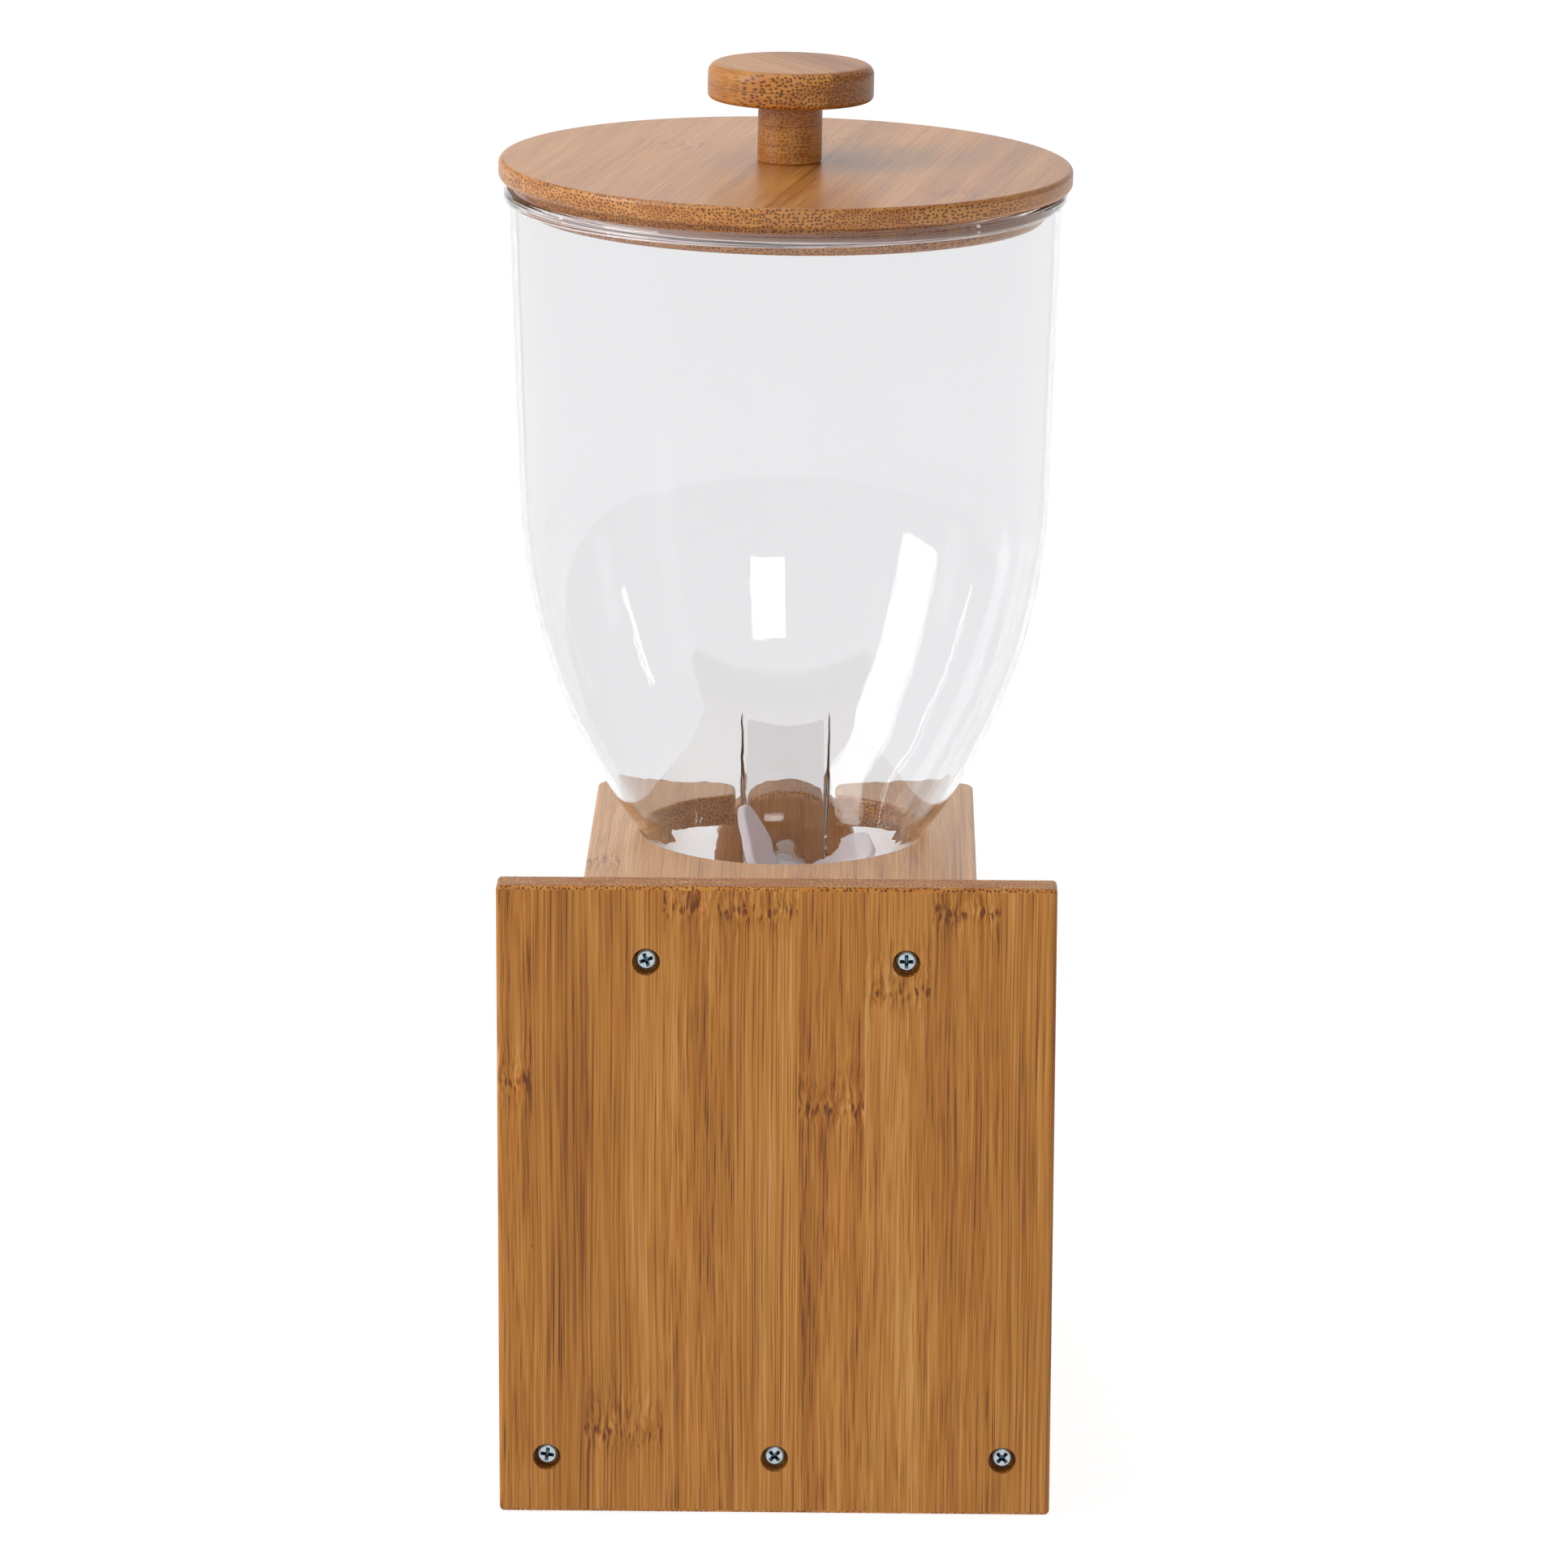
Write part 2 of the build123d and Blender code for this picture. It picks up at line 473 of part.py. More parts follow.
lscrew_len = PLUG_T - 0.6 + LID_T + STEM_H + 6.0
lscrew = wood_screw(lscrew_len, 3.8, 1.9, 1.95, 12.0)
lscrew = Pos(KNOB_X, AXIS_Y, LID_BOT - PLUG_T + 0.65) * Rot(180, 0, 0) * lscrew
write("lid_knob_screw", tilt * lscrew)
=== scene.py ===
import bpy
import math
from mathutils import Matrix, Vector

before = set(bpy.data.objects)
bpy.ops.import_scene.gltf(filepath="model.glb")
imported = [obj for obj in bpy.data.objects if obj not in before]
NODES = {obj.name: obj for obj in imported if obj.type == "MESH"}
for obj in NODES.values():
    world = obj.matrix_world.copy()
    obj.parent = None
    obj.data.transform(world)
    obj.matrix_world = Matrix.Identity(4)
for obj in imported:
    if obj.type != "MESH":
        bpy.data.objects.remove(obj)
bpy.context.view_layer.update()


# ---------------------------------------------------------------------------
# small node helpers
# ---------------------------------------------------------------------------
class Tree:
    """Thin wrapper that adds nodes and links with little text."""

    def __init__(self, tree):
        self.t = tree

    def add(self, kind, **props):
        n = self.t.nodes.new(kind)
        for k, v in props.items():
            setattr(n, k, v)
        return n

    def link(self, a, b):
        self.t.links.new(a, b)

    def put(self, socket, value):
        if isinstance(value, bpy.types.NodeSocket):
            self.t.links.new(value, socket)
        else:
            socket.default_value = value

    def math(self, op, a, b=0.0, c=None, clamp=False):
        n = self.add("ShaderNodeMath", operation=op, use_clamp=clamp)
        self.put(n.inputs[0], a)
        if len(n.inputs) > 1:
            self.put(n.inputs[1], b)
        if c is not None:
            self.put(n.inputs[2], c)
        return n.outputs[0]

    def combine(self, x, y, z):
        n = self.add("ShaderNodeCombineXYZ")
        for s, v in zip(n.inputs, (x, y, z)):
            self.put(s, v)
        return n.outputs[0]

    def separate(self, v):
        n = self.add("ShaderNodeSeparateXYZ")
        self.put(n.inputs[0], v)
        return n.outputs

    def noise(self, vec, scale=1.0, detail=2.0, rough=0.5, distortion=0.0):
        n = self.add("ShaderNodeTexNoise")
        self.put(n.inputs["Vector"], vec)
        n.inputs["Scale"].default_value = scale
        n.inputs["Detail"].default_value = detail
        n.inputs["Roughness"].default_value = rough
        n.inputs["Distortion"].default_value = distortion
        return n.outputs[0]

    def voronoi(self, vec, scale=1.0, randomness=1.0):
        n = self.add("ShaderNodeTexVoronoi", feature="F1")
        self.put(n.inputs["Vector"], vec)
        n.inputs["Scale"].default_value = scale
        n.inputs["Randomness"].default_value = randomness
        return n

    def cells(self, dims, vec, randomness=1.0):
        """Voronoi distance in one or two dimensions."""
        n = self.add("ShaderNodeTexVoronoi", feature="F1", voronoi_dimensions=dims)
        self.put(n.inputs["W" if dims == "1D" else "Vector"], vec)
        n.inputs["Scale"].default_value = 1.0
        n.inputs["Randomness"].default_value = randomness
        return n.outputs["Distance"]

    def map(self, v, a, b, c, d, smooth=False):
        n = self.add("ShaderNodeMapRange", clamp=True)
        if smooth:
            n.interpolation_type = "SMOOTHSTEP"
        self.put(n.inputs[0], v)
        for i, x in enumerate((a, b, c, d)):
            self.put(n.inputs[i + 1], x)
        return n.outputs[0]

    def ramp(self, v, stops, mode="LINEAR"):
        n = self.add("ShaderNodeValToRGB")
        n.color_ramp.interpolation = mode
        els = n.color_ramp.elements
        while len(els) > 1:
            els.remove(els[-1])
        els[0].position, els[0].color = stops[0][0], tuple(stops[0][1]) + (1,)
        for p, c in stops[1:]:
            e = els.new(p)
            e.color = tuple(c) + (1,)
        self.put(n.inputs[0], v)
        return n.outputs[0]

    def mix(self, fac, a, b, blend="MIX"):
        n = self.add("ShaderNodeMix", data_type="RGBA", blend_type=blend, clamp_factor=True)
        self.put(n.inputs[0], fac)
        for s, v in ((n.inputs[6], a), (n.inputs[7], b)):
            if isinstance(v, (tuple, list)):
                v = tuple(v) + ((1,) if len(v) == 3 else ())
            self.put(s, v)
        return n.outputs[2]

    def bump(self, height, strength, distance):
        n = self.add("ShaderNodeBump")
        n.inputs["Strength"].default_value = strength
        n.inputs["Distance"].default_value = distance
        self.put(n.inputs["Height"], height)
        return n.outputs[0]


def new_material(name):
    m = bpy.data.materials.new(name)
    m.use_nodes = True
    t = m.node_tree
    t.nodes.clear()
    w = Tree(t)
    out = w.add("ShaderNodeOutputMaterial")
    return m, w, out


def object_mm(w):
    """Object coordinates in millimetres."""
    tc = w.add("ShaderNodeTexCoord")
    s = w.add("ShaderNodeVectorMath", operation="SCALE")
    w.link(tc.outputs["Object"], s.inputs[0])
    s.inputs["Scale"].default_value = 1000.0
    return s.outputs[0]


# ---------------------------------------------------------------------------
# bamboo: fibres run along L, strips are counted along W, T is the depth
# ---------------------------------------------------------------------------
def bamboo_group():
    g = bpy.data.node_groups.new("bamboo_fibres", "ShaderNodeTree")
    for name, kind in (("W", "NodeSocketFloat"), ("T", "NodeSocketFloat"), ("L", "NodeSocketFloat"),
                       ("Seed", "NodeSocketFloat"), ("Tone", "NodeSocketFloat"), ("Fine", "NodeSocketFloat"),
                       ("KnotL", "NodeSocketFloat"), ("KnotAmt", "NodeSocketFloat"), ("Density", "NodeSocketFloat"),
                       ("LineAmt", "NodeSocketFloat"), ("Joint", "NodeSocketFloat"), ("Warm", "NodeSocketFloat")):
        g.interface.new_socket(name, in_out="INPUT", socket_type=kind)
    for name, kind in (("Color", "NodeSocketColor"), ("Rough", "NodeSocketFloat"), ("Height", "NodeSocketFloat")):
        g.interface.new_socket(name, in_out="OUTPUT", socket_type=kind)
    w = Tree(g)
    gi = w.add("NodeGroupInput")
    go = w.add("NodeGroupOutput")
    i = gi.outputs
    W, T, L = i["W"], i["T"], i["L"]
    seed = w.math("MULTIPLY", i["Seed"], 173.0)
    # knot zone: a soft band along L, its lower side shorter than its upper side
    dl = w.math("SUBTRACT", L, i["KnotL"])
    ragged = w.math("MULTIPLY", w.math("SUBTRACT", w.noise(w.combine(w.math("ADD", W, seed), T, 0.0), 0.45, 2.0), 0.5), 7.0)
    dl = w.math("ADD", dl, ragged)
    up = w.math("MAXIMUM", w.math("DIVIDE", dl, 15.0), 0.0)
    dn = w.math("MAXIMUM", w.math("DIVIDE", dl, -6.5), 0.0)
    m = w.math("ADD", w.math("MULTIPLY", up, up), w.math("MULTIPLY", dn, dn))
    m = w.math("EXPONENT", w.math("MULTIPLY", m, -1.0))
    m = w.math("MULTIPLY", m, i["KnotAmt"])
    q = w.math("DIVIDE", dl, 2.4)
    core = w.math("EXPONENT", w.math("MULTIPLY", w.math("MULTIPLY", q, q), -1.0))
    core = w.math("MULTIPLY", core, i["KnotAmt"])
    # sideways wander of the fibres, strong at the knot
    wav = w.noise(w.combine(w.math("ADD", w.math("MULTIPLY", W, 0.38), seed), w.math("MULTIPLY", T, 0.2), w.math("MULTIPLY", L, 0.11)), 1.0, 2.0)
    wav = w.math("SUBTRACT", wav, 0.5)
    slow = w.math("SUBTRACT", w.noise(w.combine(w.math("MULTIPLY", W, 0.03), seed, w.math("MULTIPLY", L, 0.010)), 1.0, 1.0), 0.5)
    Wd = w.math("ADD", W, w.math("MULTIPLY", wav, w.math("MULTIPLY", m, 3.4)))
    Wd = w.math("ADD", Wd, w.math("MULTIPLY", slow, 2.6))
    Ws = w.math("ADD", Wd, seed)
    # broad bands, medium streaks and fine fibre streaks
    band = w.noise(w.combine(w.math("MULTIPLY", Ws, 0.14), w.math("MULTIPLY", T, 0.14), w.math("MULTIPLY", L, 0.005)), 1.0, 2.0)
    streak = w.noise(w.combine(w.math("MULTIPLY", Ws, 0.70), w.math("MULTIPLY", T, 0.62), w.math("MULTIPLY", L, 0.011)), 1.0, 2.0, 0.6)
    fibre = w.noise(w.combine(w.math("MULTIPLY", Ws, 2.5), w.math("MULTIPLY", T, 2.5), w.math("MULTIPLY", L, 0.03)), 1.0, 2.0, 0.6)
    patch = w.noise(w.combine(w.math("MULTIPLY", Ws, 0.9), w.math("MULTIPLY", T, 0.6), w.math("MULTIPLY", L, 0.10)), 1.0, 2.0, 0.5, 0.7)
    # vascular bundles: thin lines along L, continuous in fine strips and tapering in coarse ones
    dens = i["Density"]
    wv = w.math("MULTIPLY", Ws, dens)
    tv = w.math("MULTIPLY", T, dens)
    u = w.math("ADD", wv, w.math("MULTIPLY", tv, 0.83))
    line_a = w.map(w.cells("1D", w.math("MULTIPLY", u, 0.72), 0.9), 0.07, 0.19, 1.0, 0.0, True)
    line_b = w.map(w.cells("1D", w.math("ADD", w.math("MULTIPLY", u, 0.93), 40.3), 1.0), 0.08, 0.22, 0.8, 0.0, True)
    fade_a = w.map(w.noise(w.combine(w.math("MULTIPLY", u, 0.75), seed, w.math("MULTIPLY", L, 0.016)), 1.0, 1.0), 0.40, 0.60, 0.25, 1.0)
    fade_b = w.map(w.noise(w.combine(w.math("MULTIPLY", u, 1.1), w.math("ADD", seed, 5.0), w.math("MULTIPLY", L, 0.024)), 1.0, 1.0), 0.42, 0.62, 0.0, 1.0)
    d_long = w.math("MAXIMUM", w.math("MULTIPLY", line_a, fade_a), w.math("MULTIPLY", line_b, fade_b))
    d_dash = w.map(w.cells("2D", w.combine(w.math("MULTIPLY", u, 1.05), w.math("MULTIPLY", L, 0.034), 0.0)), 0.08, 0.32, 0.75, 0.0, True)
    d_fine = w.map(w.cells("2D", w.combine(w.math("ADD", w.math("MULTIPLY", u, 1.6), 17.0), w.math("MULTIPLY", L, 0.020), 0.0)), 0.08, 0.32, 0.6, 0.0, True)
    d_mid = w.math("MAXIMUM", d_dash, d_fine)
    lines = w.add("ShaderNodeMix", data_type="FLOAT")
    w.put(lines.inputs[0], i["Fine"]); w.put(lines.inputs[2], d_mid); w.put(lines.inputs[3], d_long)
    amp_cell = w.map(w.noise(w.combine(w.math("MULTIPLY", Ws, 0.22), seed, w.math("MULTIPLY", L, 0.012)), 1.0, 1.0), 0.35, 0.65, 0.60, 1.0)
    lines = w.math("MULTIPLY", lines.outputs[0], amp_cell)
    # hooked dashes at the knot
    d_knot = w.map(w.cells("2D", w.combine(w.math("MULTIPLY", u, 0.85), w.math("MULTIPLY", L, 0.20), 0.0)), 0.12, 0.42, 1.3, 0.0, True)
    both = w.add("ShaderNodeMix", data_type="FLOAT", clamp_factor=True)
    w.put(both.inputs[0], w.math("MULTIPLY", core, 0.9)); w.put(both.inputs[2], lines); w.put(both.inputs[3], d_knot)
    lines = both.outputs[0]
    # value before colour
    v = w.math("ADD", 0.63, w.math("MULTIPLY", w.math("SUBTRACT", band, 0.5), 0.85))
    v = w.math("ADD", v, w.math("DIVIDE", w.math("MULTIPLY", w.math("SUBTRACT", streak, 0.5), 0.70), w.math("MULTIPLY", dens, dens)))
    v = w.math("ADD", v, w.math("MULTIPLY", w.math("SUBTRACT", fibre, 0.5), 1.10))
    v = w.math("ADD", v, i["Tone"])
    v = w.math("SUBTRACT", v, w.math("MULTIPLY", w.math("MULTIPLY", lines, i["LineAmt"]), 0.50))
    v = w.math("SUBTRACT", v, w.math("MULTIPLY", w.math("MULTIPLY", m, w.math("SUBTRACT", patch, 0.44)), 2.0))
    v = w.math("SUBTRACT", v, w.math("MULTIPLY", i["Joint"], 0.22))
    v = w.math("MINIMUM", w.math("MAXIMUM", v, 0.0), 1.0)
    col = w.ramp(v, [
        (0.00, (0.120, 0.034, 0.0030)), (0.18, (0.200, 0.063, 0.0055)), (0.36, (0.285, 0.101, 0.0095)),
        (0.52, (0.345, 0.132, 0.0150)), (0.68, (0.395, 0.163, 0.0240)), (0.85, (0.445, 0.200, 0.0400)),
        (1.00, (0.505, 0.248, 0.0680))])
    # warm orange patches and pinkish pale fibres
    warm = w.map(w.noise(w.combine(w.math("MULTIPLY", Ws, 0.24), w.math("MULTIPLY", T, 0.2), w.math("MULTIPLY", L, 0.014)), 1.0, 2.0), 0.46, 0.66, 0.0, 1.0, True)
    warm = w.math("MULTIPLY", warm, w.math("ADD", 0.30, w.math("MULTIPLY", m, 0.55)))
    col = w.mix(warm, col, w.mix(1.0, col, (1.07, 0.90, 0.62), "MULTIPLY"))
    pink = w.map(w.noise(w.combine(w.math("MULTIPLY", Ws, 0.7), w.math("ADD", T, 9.0), w.math("MULTIPLY", L, 0.03)), 1.0, 2.0), 0.52, 0.72, 0.0, 0.6, True)
    col = w.mix(pink, col, w.mix(1.0, col, (1.0, 0.98, 1.55), "MULTIPLY"))
    col = w.mix(w.math("MULTIPLY", i["Warm"], 1.0), col, w.mix(1.0, col, (1.02, 0.86, 0.62), "MULTIPLY"))
    # root traces: near-black specks in the knot's core, and a few elsewhere
    sp = w.voronoi(w.combine(w.math("MULTIPLY", W, 0.42), w.math("MULTIPLY", T, 0.3), w.math("MULTIPLY", L, 0.30)))
    speck = w.map(sp.outputs["Distance"], 0.05, 0.14, 1.0, 0.0, True)
    keep = w.map(w.separate(sp.outputs["Color"])[0], 0.42, 0.5, 0.0, 1.0)
    speck = w.math("MULTIPLY", w.math("MULTIPLY", speck, keep), w.map(core, 0.25, 0.6, 0.0, 1.0))
    sp2 = w.voronoi(w.combine(w.math("MULTIPLY", W, 0.075), w.math("MULTIPLY", T, 0.075), w.math("MULTIPLY", L, 0.055)))
    rare = w.math("MULTIPLY", w.map(sp2.outputs["Distance"], 0.012, 0.022, 1.0, 0.0), w.map(w.separate(sp2.outputs["Color"])[1], 0.4, 0.45, 0.0, 1.0))
    dark = w.math("MAXIMUM", speck, rare)
    col = w.mix(w.math("MULTIPLY", dark, 0.85), col, (0.030, 0.014, 0.006))
    w.link(col, go.inputs["Color"])
    rough = w.math("ADD", 0.40, w.math("MULTIPLY", w.math("SUBTRACT", fibre, 0.5), 0.16))
    rough = w.math("ADD", rough, w.math("MULTIPLY", lines, 0.06))
    w.link(rough, go.inputs["Rough"])
    h = w.math("SUBTRACT", w.math("MULTIPLY", fibre, 0.5), w.math("MULTIPLY", lines, 0.55))
    h = w.math("SUBTRACT", h, w.math("MULTIPLY", dark, 1.2))
    h = w.math("SUBTRACT", h, w.math("MULTIPLY", i["Joint"], 0.5))
    w.link(h, go.inputs["Height"])
    return g


BAMBOO = bamboo_group()


def bamboo(name, axes, strips, density=1.0, lines=1.0, rough=0.0, t_split=(), bump=0.25, end_amt=0.92, coat=0.12, gain=(1.0, 1.0, 1.0), spec=0.5):
    """axes: three unit vectors (W, T, L) in the row frame. strips: list of
    (start_mm, tone, seed, fine, knot_l_mm, knot_amount, warm) along W, in order."""
    m, w, out = new_material(name)
    p = object_mm(w)

    def along(axis):
        n = w.add("ShaderNodeVectorMath", operation="DOT_PRODUCT")
        w.link(p, n.inputs[0])
        n.inputs[1].default_value = axis
        return n.outputs["Value"]

    W, T, L = (along(a) for a in axes)
    for z in t_split:
        # glued layers: each layer past a split draws its own fibres
        W = w.math("ADD", W, w.math("MULTIPLY", w.math("GREATER_THAN", T, z), 1.9))
    lo, hi = strips[0][0], strips[-1][0] + 40.0
    pos = w.math("DIVIDE", w.math("SUBTRACT", W, lo), hi - lo)
    # per-strip values looked up along W, and a thin joint line where each strip starts
    a_stops, b_stops, j_stops = [], [], [(0.0, (0, 0, 0))]
    for k, (start, tone, seed, fine, knot, amount, warm) in enumerate(strips):
        q = (start - lo) / (hi - lo)
        a_stops.append((q, (tone + 0.5, (knot + 250.0) / 700.0, amount)))
        b_stops.append((q, (seed, fine, warm)))
        if k and len(j_stops) < 28:
            e = 0.22 / (hi - lo)
            j_stops += [(q - e, (0, 0, 0)), (q, (1, 1, 1)), (q + e, (0, 0, 0))]
    A = w.add("ShaderNodeSeparateColor")
    w.link(w.ramp(pos, a_stops, "CONSTANT"), A.inputs[0])
    B = w.add("ShaderNodeSeparateColor")
    w.link(w.ramp(pos, b_stops, "CONSTANT"), B.inputs[0])
    J = w.ramp(pos, j_stops, "LINEAR")
    g = w.add("ShaderNodeGroup")
    g.node_tree = BAMBOO
    w.put(g.inputs["W"], W); w.put(g.inputs["T"], T); w.put(g.inputs["L"], L)
    w.put(g.inputs["Seed"], B.outputs[0])
    w.put(g.inputs["Tone"], w.math("SUBTRACT", A.outputs[0], 0.5))
    w.put(g.inputs["Fine"], B.outputs[1])
    w.put(g.inputs["KnotL"], w.math("SUBTRACT", w.math("MULTIPLY", A.outputs[1], 700.0), 250.0))
    w.put(g.inputs["KnotAmt"], A.outputs[2])
    w.put(g.inputs["Density"], density)
    w.put(g.inputs["LineAmt"], lines)
    w.put(g.inputs["Joint"], J)
    w.put(g.inputs["Warm"], B.outputs[2])
    # faces cut across the fibres are darker, warmer and show dotted bundles
    geo = w.add("ShaderNodeNewGeometry")
    tn = w.add("ShaderNodeVectorTransform", vector_type="NORMAL", convert_from="WORLD", convert_to="OBJECT")
    w.link(geo.outputs["Normal"], tn.inputs[0])
    dn = w.add("ShaderNodeVectorMath", operation="DOT_PRODUCT")
    w.link(tn.outputs[0], dn.inputs[0])
    dn.inputs[1].default_value = axes[2]
    end = w.map(w.math("ABSOLUTE", dn.outputs["Value"]), 0.18, 0.55, 0.0, 1.0, True)
    seedo = w.math("MULTIPLY", B.outputs[0], 91.0)
    coarse = w.math("ADD", 0.66, w.math("MULTIPLY", B.outputs[1], 0.42))
    warp = w.math("MULTIPLY", w.math("SUBTRACT", w.noise(w.combine(W, T, 0.0), 0.25, 1.0), 0.5), 2.0)
    cut = w.combine(w.math("MULTIPLY", w.math("ADD", w.math("ADD", W, seedo), warp), coarse), w.math("MULTIPLY", w.math("ADD", T, w.math("MULTIPLY", L, 0.03)), w.math("MULTIPLY", coarse, 1.15)), 0.0)
    dots = w.map(w.cells("2D", cut, 0.72), 0.20, 0.40, 1.0, 0.0, True)
    ebase = w.noise(w.combine(w.math("MULTIPLY", w.math("ADD", W, seedo), 0.10), w.math("MULTIPLY", T, 0.30), w.math("MULTIPLY", L, 0.01)), 1.0, 2.0)
    ground = w.mix(w.map(ebase, 0.34, 0.66, 0.0, 1.0), (0.510, 0.222, 0.040), (0.375, 0.122, 0.012))
    ground = w.mix(w.math("MULTIPLY", w.map(A.outputs[0], 0.30, 0.50, 1.0, 0.0), 0.85), ground, (0.250, 0.086, 0.0130))
    endc = w.mix(w.math("MULTIPLY", dots, end_amt), ground, (0.080, 0.020, 0.0025))
    along_grain = g.outputs["Color"]
    # gain scales the along-grain colour; on the shelf, base board and lid it is painted sheen, a paler colour standing
    # in for the backdrop's reflection and the light on their top faces
    if gain != (1.0, 1.0, 1.0):
        along_grain = w.mix(1.0, along_grain, gain, "MULTIPLY")
    col = w.mix(end, along_grain, endc)
    for z in t_split:
        # the glue line itself
        near = w.math("ABSOLUTE", w.math("SUBTRACT", T, z))
        col = w.mix(w.map(near, 0.08, 0.28, 0.55, 0.0), col, (0.120, 0.040, 0.008))
    bs = w.add("ShaderNodeBsdfPrincipled")
    w.link(col, bs.inputs["Base Color"])
    w.put(bs.inputs["Roughness"], w.math("ADD", g.outputs["Rough"], rough))
    bs.inputs["IOR"].default_value = 1.50
    bs.inputs["Specular IOR Level"].default_value = spec
    bs.inputs["Coat Weight"].default_value = coat
    bs.inputs["Coat Roughness"].default_value = 0.32
    bs.inputs["Coat IOR"].default_value = 1.5
    h = w.math("SUBTRACT", g.outputs["Height"], w.math("MULTIPLY", w.math("MULTIPLY", dots, end), 0.8))
    w.link(w.bump(h, bump, 0.00006), bs.inputs["Normal"])
    w.link(bs.outputs[0], out.inputs[0])
    return m


def turned(angle_deg):
    """Axes for a flat board whose fibres lie along Y turned about Z."""
    a = math.radians(angle_deg)
    L = (math.sin(a), math.cos(a), 0.0)
    W = (math.cos(a), -math.sin(a), 0.0)
    return (W, (0.0, 0.0, 1.0), L)


# back panel: fibres upright, strips counted from -X to +X
PANEL_STRIPS = [  # start, tone, seed, fine, knot z, knot amount, warm
    (-120.0, 0.02, 0.11, 0.9, 600.0, 0.0, 0.05),
    (-68.2, -0.01, 0.27, 0.35, 193.0, 1.0, 0.10),
    (-47.2, 0.09, 0.43, 0.15, 168.5, 1.0, 0.00),
    (-27.2, 0.00, 0.58, 0.05, 131.0, 1.0, 0.16),
    (-7.4, 0.06, 0.66, 1.0, 193.5, 0.9, 0.04),
    (13.2, 0.01, 0.79, 0.1, 194.0, 1.0, 0.08),
    (33.6, 0.03, 0.86, 0.7, 26.0, 0.9, 0.02),
    (58.8, -0.01, 0.93, 0.9, 600.0, 0.0, 0.08),
    (73.6, -0.03, 0.34, 0.1, 138.0, 1.0, 0.18),
]
M_PANEL = bamboo("bamboo_back_panel", ((1, 0, 0), (0, 1, 0), (0, 0, 1)), PANEL_STRIPS, density=0.85, lines=1.15, coat=0.0, spec=0.32)

SHELF_STRIPS = [
    (-90.0, 0.02, 0.21, 0.6, 600.0, 0.0, 0.0), (-43.0, 0.05, 0.35, 0.2, 600.0, 0.0, 0.0),
    (-24.0, 0.00, 0.52, 0.9, 40.0, 0.7, 0.0), (-4.5, 0.04, 0.64, 0.4, 600.0, 0.0, 0.0),
    (16.0, 0.01, 0.71, 0.8, 600.0, 0.0, 0.0), (33.0, 0.05, 0.88, 0.7, 600.0, 0.0, 0.0),
    (50.0, 0.00, 0.17, 0.2, 17.0, 1.0, 0.0),
]
# painted sheen: the gain makes the whole shelf board paler and less saturated, standing in for the backdrop's
# reflection and the strong light on its top face
M_SHELF = bamboo("bamboo_shelf_board", turned(0), SHELF_STRIPS, density=1.1, lines=0.7, coat=0.45, gain=(1.34, 1.55, 2.7))

BASE_STRIPS = [
    (-110.0, 0.01, 0.31, 0.6, 600.0, 0.0, 0.0), (-64.0, 0.04, 0.12, 0.2, 60.0, 0.9, 0.0),
    (-43.0, 0.00, 0.47, 0.9, 600.0, 0.0, 0.05), (-22.0, 0.05, 0.59, 0.4, -30.0, 0.9, 0.0),
    (-1.5, 0.00, 0.76, 0.8, 600.0, 0.0, 0.0), (19.0, 0.03, 0.83, 0.1, 20.0, 1.0, 0.04),
    (40.0, 0.02, 0.07, 0.7, 600.0, 0.0, 0.0), (61.0, -0.02, 0.99, 0.3, -70.0, 0.8, 0.06),
]
# painted sheen: the gain makes the whole base board paler, standing in for the backdrop's reflection and the light on
# its top face
M_BASE = bamboo("bamboo_base_board", turned(0), BASE_STRIPS, density=1.1, lines=0.7, coat=0.45, gain=(1.18, 1.28, 1.8))

LID_ANGLE = 10.5
LID_STRIPS = [
    (-120.0, -0.06, 0.41, 0.7, 600.0, 0.0, 0.0), (-70.0, -0.05, 0.23, 0.3, 20.0, 0.6, 0.0),
    (-49.0, -0.02, 0.55, 0.9, 600.0, 0.0, 0.0), (-27.5, -0.04, 0.62, 0.2, 600.0, 0.0, 0.0),
    (-7.0, 0.05, 0.74, 0.5, -70.0, 0.7, 0.0), (14.0, 0.02, 0.89, 0.9, 600.0, 0.0, 0.0),
    (35.0, 0.06, 0.15, 0.3, -46.0, 0.8, 0.0), (56.0, 0.04, 0.96, 0.8, 600.0, 0.0, 0.0),
    (77.0, 0.06, 0.05, 0.2, 600.0, 0.0, 0.0),
]
# painted sheen: the gain makes the whole lid disc paler, standing in for grazing sheen and the stronger light on its
# top
M_LID = bamboo("bamboo_lid_disc", turned(LID_ANGLE), LID_STRIPS, density=1.45, lines=0.42, coat=0.25, gain=(1.08, 1.06, 1.25))
M_PLUG = bamboo("bamboo_lid_plug", turned(LID_ANGLE + 4.0), LID_STRIPS, density=1.45, lines=0.6)

CAP_STRIPS = [
    (-60.0, -0.16, 0.37, 0.8, 600.0, 0.0, 0.2), (-12.6, 0.02, 0.49, 0.5, 600.0, 0.0, 0.0),
    (-3.0, 0.07, 0.81, 0.2, 600.0, 0.0, 0.0),
]
STEM_STRIPS = [
    (-60.0, -0.04, 0.53, 0.8, 600.0, 0.0, 0.2), (-8.5, 0.03, 0.87, 0.4, 600.0, 0.0, 0.0),
]
M_CAP = bamboo("bamboo_lid_cap", turned(-28.0), CAP_STRIPS, density=1.5, lines=0.5, t_split=(424.6,), coat=0.1, gain=(1.05, 1.02, 1.1), spec=0.4)
M_STEM = bamboo("bamboo_lid_stem", turned(24.0), STEM_STRIPS, density=1.3, lines=0.8, t_split=(405.5, 411.5), end_amt=0.55, gain=(1.1, 1.1, 1.2))
